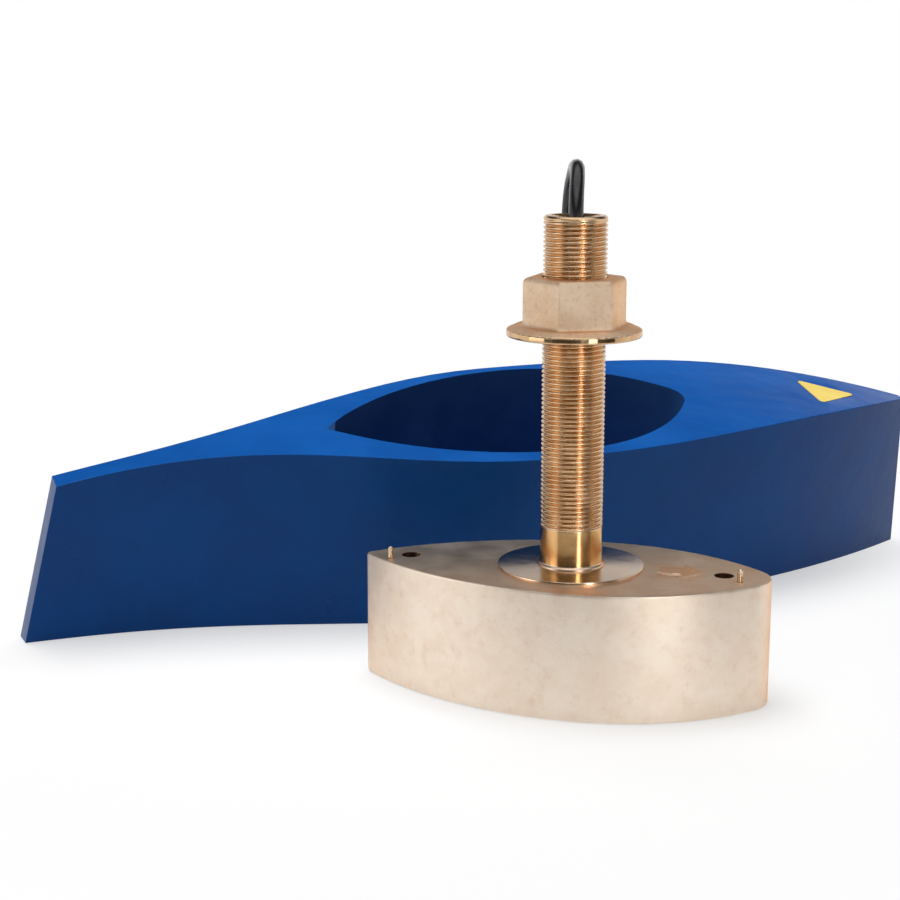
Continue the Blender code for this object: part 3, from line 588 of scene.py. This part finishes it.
# %% Hull nut
FLANGE_RADIUS = 33.9 * MM
NUT_SEAT = 183.4 * MM
VOXEL = 0.50 * MM
nut = merged_copy("hull_nut", "hexagon_hull_nut")
applied(nut, "REMESH", mode="VOXEL", voxel_size=VOXEL)
applied(nut, "SMOOTH", factor=0.5, iterations=2)
nut_metal = cast_bronze("Cast bronze nut, bead blasted", "#F0DAC0", "#E0C3A2", "#BE9472", 0.40, patch=2.2)
rim_metal = turned_bronze("Turned bronze rim", "#D9B58C", "#C59E74", 0.6, True, 0.17)
nut.data.materials.append(nut_metal)
nut.data.materials.append(rim_metal)
for face in nut.data.polygons:
    reach = math.hypot(face.center.x, face.center.y)
    if reach > FLANGE_RADIUS - 0.25 * MM or face.center.z < NUT_SEAT + 0.2 * MM:
        face.material_index = 1
alone(nut)
bpy.ops.object.shade_smooth()
dressed(nut, nut_metal, "cast_bronze", "hull_nut")

# %% [markdown]
# ## Locating pins
# Two short turned pins of the same bronze keep the housing square in the fairing. Their ends are rounded
# so that they find their sockets.

# %% Pins
pin_metal = turned_bronze("Turned bronze pin", "#EBD7BC", "#DEC4A2", 0.4, True, 0.16)
for end in ("aft", "fore"):
    pin = softened("locating_pin_" + end, "pin_" + end, 0.25 * MM, 2)
    dressed(pin, pin_metal, "cast_bronze", "locating_pin_" + end)

# %% [markdown]
# ## The fairing
# The fairing is cast in blue polyurethane in a polished mould, so it is satin, a little uneven in tone
# and very slightly rippled. The solid's own shape is right, and its copy only needs whole faces and soft
# shading. Its pocket's walls and floor get a greyer blue, which is painted shade for the recess, and a
# rougher, duller surface. The bow mark is a yellow piece of the same plastic, let into the top and a hair proud
# of it.


# %% Material: cast polyurethane
def cast_urethane(name, light, dark, patch, rough, shine=0.2):
    """Plastic with faint clouds, a fine skin and slow ripples. Patch is in millimetres."""
    made, tree, place = blank(name)
    colour, cloud = mottled(tree, place, patch * MM, (dark, light), (0.30, 0.70))
    ripple = bump(tree, noise(tree, place, 22 * MM, 2.0), 0.5 * MM)
    relief = bump(tree, noise(tree, place, 1.1 * MM, 3.0), 0.02 * MM, ripple)
    return finished(made, tree, colour, (cloud, rough - 0.05, rough + 0.06), relief,
                    {"Specular IOR Level": shine})


# %% Fairing and bow mark
urethane_blue = cast_urethane("Cast blue polyurethane", "#0559AC", "#06509F", 60, 0.31, 0.15)
# The pocket's walls and floor get a greyer blue: painted shade in the recess.
urethane_pocket_shade = cast_urethane("Blue polyurethane, painted pocket shade", "#38629A", "#315A90", 25, 0.70, 0.1)
urethane_yellow = cast_urethane("Cast yellow polyurethane", "#FCE17C", "#F6D86E", 15, 0.45)
POCKET_MIDDLE = Vector((-0.0635, 0.1607))
POCKET_REACH = 126 * MM  # the floor's faces lie this near the pocket's middle
TIP_REACH = 150 * MM  # and the walls' faces this near
POCKET_TIP = Vector((-0.181, 0.092))
POCKET_FLOOR = 70 * MM  # the pocket's floor lies below this height


def near_tip(face):
    """True for the flat faces round the pocket's sharp corner, whose shading would bend otherwise."""
    reach = 30 * MM if face.normal.z > 0.9 else 12 * MM
    return (face.center.xy - POCKET_TIP).length < reach


fairing = merged_copy("fairing", "streamlined_fairing")
fairing.data.materials.append(urethane_blue)
fairing.data.materials.append(urethane_pocket_shade)
# Faces of the pocket's walls and floor take the greyer blue, which is painted shade.
painted_pocket = 0
for face in fairing.data.polygons:
    inwards = POCKET_MIDDLE - face.center.xy
    wall = face.normal.z < 0.7 and inwards.dot(face.normal.xy) > 0 and inwards.length < TIP_REACH
    bottom = face.normal.z > 0.7 and face.center.z < POCKET_FLOOR and inwards.length < POCKET_REACH
    if wall or bottom:
        face.material_index = 1
        painted_pocket += 1
print("keyed faces:", painted_pocket)
smooth(fairing, 33)
hold_flat(fairing, near_tip)
dressed(fairing, urethane_blue, "fairing_blue", "fairing")
dressed(softened("bow_mark", "bow_arrowhead", 0.25 * MM, 2), urethane_yellow, "mark_yellow", "bow_mark")

# %% [markdown]
# ## What the housing holds
# These pieces are sealed in the housing or show only from below. Each keeps its solid and gets the look
# of its own stuff: cast window, cork sheet, fired ceramic, ferrite, epoxy, grey rubber and gold.

# %% Inner pieces
inner = {name: plain_surface(*look) for name, look in {
    "acoustic_window": ("Cast black urethane window", "#2B2C2E", "#1E1F21", 25, 1.0, 0.02, 0.38),
    "element_carrier": ("Cork and rubber sheet", "#A07B52", "#5E4329", 1.8, 0.8, 0.15, 0.9),
    "backing_pad": ("Cork pad", "#A98558", "#6B4D2F", 1.5, 0.8, 0.15, 0.9),
    "matching_transformer": ("Varnished ferrite", "#3E3B3A", "#2A2827", 3, 0.5, 0.05, 0.6),
    "potting": ("Poured epoxy", "#333436", "#26272A", 18, 2.0, 0.03, 0.35),
    "stem_seal": ("Moulded grey rubber", "#3A3B3D", "#2D2E30", 8, 0.6, 0.04, 0.65),
    "temperature_sensor": ("Drawn stainless steel", "#CFCBC4", "#B9B4AC", 6, 0.3, 0.005, 0.25, 0.05, 1.0),
    "contact_insert": ("Moulded black nylon", "#202123", "#17181A", 8, 0.5, 0.02, 0.45),
}.items()}
ceramic = plain_surface("Fired ceramic", "#D3C9AE", "#BDB194", 5, 0.4, 0.03, 0.6)
gold = plain_surface("Gold plate", "#EFCB78", "#DDB35C", 3, 0.3, 0.005, 0.22, 0.04, 1.0)
for name, item in nodes.items():
    if item.hide_render:
        continue
    stuff = inner.get(name) or (ceramic if name.startswith("ceramic") else gold)
    item.data.materials.clear()
    item.data.materials.append(stuff)
print("kept solids:", sorted(n for n, o in nodes.items() if not o.hide_render))

# %% [markdown]
# ## Bench, card, lamps and background
# The bench is a white light table: it glows a little by itself and is lit from above, so the shadows on it
# are there but soft, and further out it turns into plain white. The studio round it is white up to a little
# above eye level, dark above that and white again right overhead, and metal and plastic mirror it. The
# overhead lamp lights what is matt and is hidden from mirrors, so that level metal doesn't burn out. The
# other lamps are seen in mirrors only: one at each side of the stem, and one above the front for the rounded
# edges. Metal needs something dark to mirror too, or it looks like paint: a grey felt card stands round the
# front, behind the camera, and its foot lies on the bench. Only reflections show it.

# %% White seen by the camera and in mirrors
def seen_rays(tree):
    """One for rays that come from the camera, a mirror or glass, and nought for scattered light."""
    path = add(tree, "ShaderNodeLightPath")
    seen = add(tree, "ShaderNodeMath", {"operation": "MAXIMUM"},
               {0: path.outputs["Is Camera Ray"], 1: path.outputs["Is Glossy Ray"]})
    return add(tree, "ShaderNodeMath", {"operation": "MAXIMUM"},
               {0: seen.outputs[0], 1: path.outputs["Is Transmission Ray"]}).outputs[0]


# %% Bench
MIDDLE = (-0.05, 0.08, 0.08)
BENCH_SIZE = 12
BENCH_TOP = -0.2 * MM
WHITE_FROM, WHITE_TO = 0.20, 0.46  # metres from the middle, where the bench turns into plain white
NEAR_GLOW = 0.50  # the share of plain white under the object, as the camera sees it
SCATTERED_GLOW = 0.20  # and as matt surfaces receive it, anywhere on the bench
floor_paint, floor_tree, floor_place = blank("Matt white bench")
relief = bump(floor_tree, noise(floor_tree, floor_place, 2 * MM, 2.0), 0.01 * MM)
seen = seen_rays(floor_tree)
paint = add(floor_tree, "ShaderNodeBsdfDiffuse", None, {
    "Color": mixed(floor_tree, seen, "#A8A8A8", "#FFFFFF"), "Normal": relief})
away = add(floor_tree, "ShaderNodeVectorMath", {"operation": "DISTANCE"}, {
    0: floor_place, 1: (MIDDLE[0], MIDDLE[1], 0)})
far = ranged(floor_tree, away.outputs["Value"], WHITE_FROM, WHITE_TO, NEAR_GLOW, 1.0, "SMOOTHSTEP")
white_share = add(floor_tree, "ShaderNodeMix", {"data_type": "FLOAT"}, {0: seen, 2: SCATTERED_GLOW, 3: far})
white = add(floor_tree, "ShaderNodeEmission", None, {"Color": (1.0, 1.0, 1.0, 1.0), "Strength": 1.0})
bench_mix = add(floor_tree, "ShaderNodeMixShader", None,
                {0: white_share.outputs[0], 1: paint.outputs["BSDF"], 2: white.outputs["Emission"]})
add(floor_tree, "ShaderNodeOutputMaterial", None, {"Surface": bench_mix.outputs[0]})
bpy.ops.object.select_all(action="DESELECT")
bpy.ops.mesh.primitive_plane_add(size=BENCH_SIZE, location=(0, 0, BENCH_TOP))
floor = bpy.context.object
floor.name = "bench"
floor.data.materials.append(floor_paint)

# %% Grey card
FACING = math.degrees(math.atan2(EYE[1], EYE[0]))  # the camera's direction from the stem
CARD_RADIUS = 1.15
CARD_HEIGHT = 0.45
CARD_FOOT = 0.33
CARD_FROM = FACING - 50  # degrees round the stem
CARD_TO = FACING + 74
CARD_LIFT = 0.5 * MM
felt = plain_surface("Grey felt", "#6A6A6A", "#5E5E5E", 4, 1.0, 0.3, 0.95)
bpy.ops.object.select_all(action="DESELECT")
bpy.ops.mesh.primitive_cylinder_add(vertices=72, radius=CARD_RADIUS, depth=CARD_HEIGHT, end_fill_type="NOTHING",
                                    location=(0, 0, CARD_HEIGHT / 2 + CARD_LIFT))
card = bpy.context.object
card.name = "grey_card"
bpy.ops.object.transform_apply(location=True)
bpy.ops.object.mode_set(mode="EDIT")
pick(card, "FACE", lambda middle, face: not CARD_FROM < math.degrees(math.atan2(middle.y, middle.x)) < CARD_TO)
bpy.ops.mesh.delete(type="FACE")
pick(card, "EDGE", lambda middle, edge: middle.z < 2 * CARD_LIFT)
draw_in(CARD_RADIUS, CARD_FOOT, 0)
bpy.ops.object.mode_set(mode="OBJECT")
card.data.materials.append(felt)
card.visible_camera = False
card.visible_diffuse = False
card.visible_shadow = False
print("card faces:", len(card.data.polygons))


# %% Lamps
def soft_lamp(name, place, target, size, watts, for_mirrors=True):
    """A rectangular lamp that faces a point. It lights either what mirrors or what is matt."""
    data = bpy.data.lights.new(name, "AREA")
    data.shape = "RECTANGLE"
    data.size, data.size_y = size
    data.energy = watts
    lamp = bpy.data.objects.new(name, data)
    bpy.context.scene.collection.objects.link(lamp)
    lamp.location = place
    lamp.rotation_euler = (Vector(target) - Vector(place)).to_track_quat("-Z", "Y").to_euler()
    lamp.visible_camera = False
    lamp.visible_diffuse = not for_mirrors
    lamp.visible_glossy = for_mirrors
    return lamp


def round_the_stem(turn, reach, height):
    """A place at so many degrees to the right of the camera's own direction."""
    angle = math.radians(FACING + turn)
    return (reach * math.cos(angle), reach * math.sin(angle), height)


soft_lamp("overhead", (-0.20, 0.08, 1.6), MIDDLE, (1.3, 1.0), 28, for_mirrors=False)
soft_lamp("left_box", round_the_stem(-66, 0.9, 0.25), (0, 0, 0.12), (0.40, 0.5), 0.7)
soft_lamp("edge_box", round_the_stem(0, 0.50, 0.95), (0, 0, 0.12), (0.70, 0.50), 1.0)
soft_lamp("right_strip", round_the_stem(28, 0.34, 0.17), (0, 0, 0.17), (0.040, 0.34), 0.32)

# %% World
SWEEP = (0.29, 0.48)  # heights on a dome of radius 1: white below the first, dark above the second
CEILING = (0.72, 0.86)  # dark below the first, white above the second
DARK = 0.02
SCATTERED_LIGHT = 0.12  # the studio's strength for matt surfaces
world = bpy.data.worlds.new("studio")
bpy.context.scene.world = world
world.use_nodes = True
studio = world.node_tree
studio.nodes.clear()
where = add(studio, "ShaderNodeTexCoord").outputs["Generated"]
height = add(studio, "ShaderNodeSeparateXYZ", None, {"Vector": where}).outputs["Z"]
sweep = ranged(studio, height, *SWEEP, 1.0, DARK, "SMOOTHSTEP")
ceiling = ranged(studio, height, *CEILING, 0.0, 1.2, "SMOOTHSTEP")
dome = add(studio, "ShaderNodeMath", {"operation": "ADD"}, {0: sweep, 1: ceiling}).outputs[0]
level = ranged(studio, seen_rays(studio), 0.0, 1.0, SCATTERED_LIGHT, 1.0)
strength = add(studio, "ShaderNodeMath", {"operation": "MULTIPLY"}, {0: dome, 1: level}).outputs[0]
sky = add(studio, "ShaderNodeBackground", None, {"Color": (1.0, 1.0, 1.0, 1.0), "Strength": strength})
add(studio, "ShaderNodeOutputWorld", None, {"Surface": sky.outputs["Background"]})
bpy.context.scene.view_settings.view_transform = "Standard"
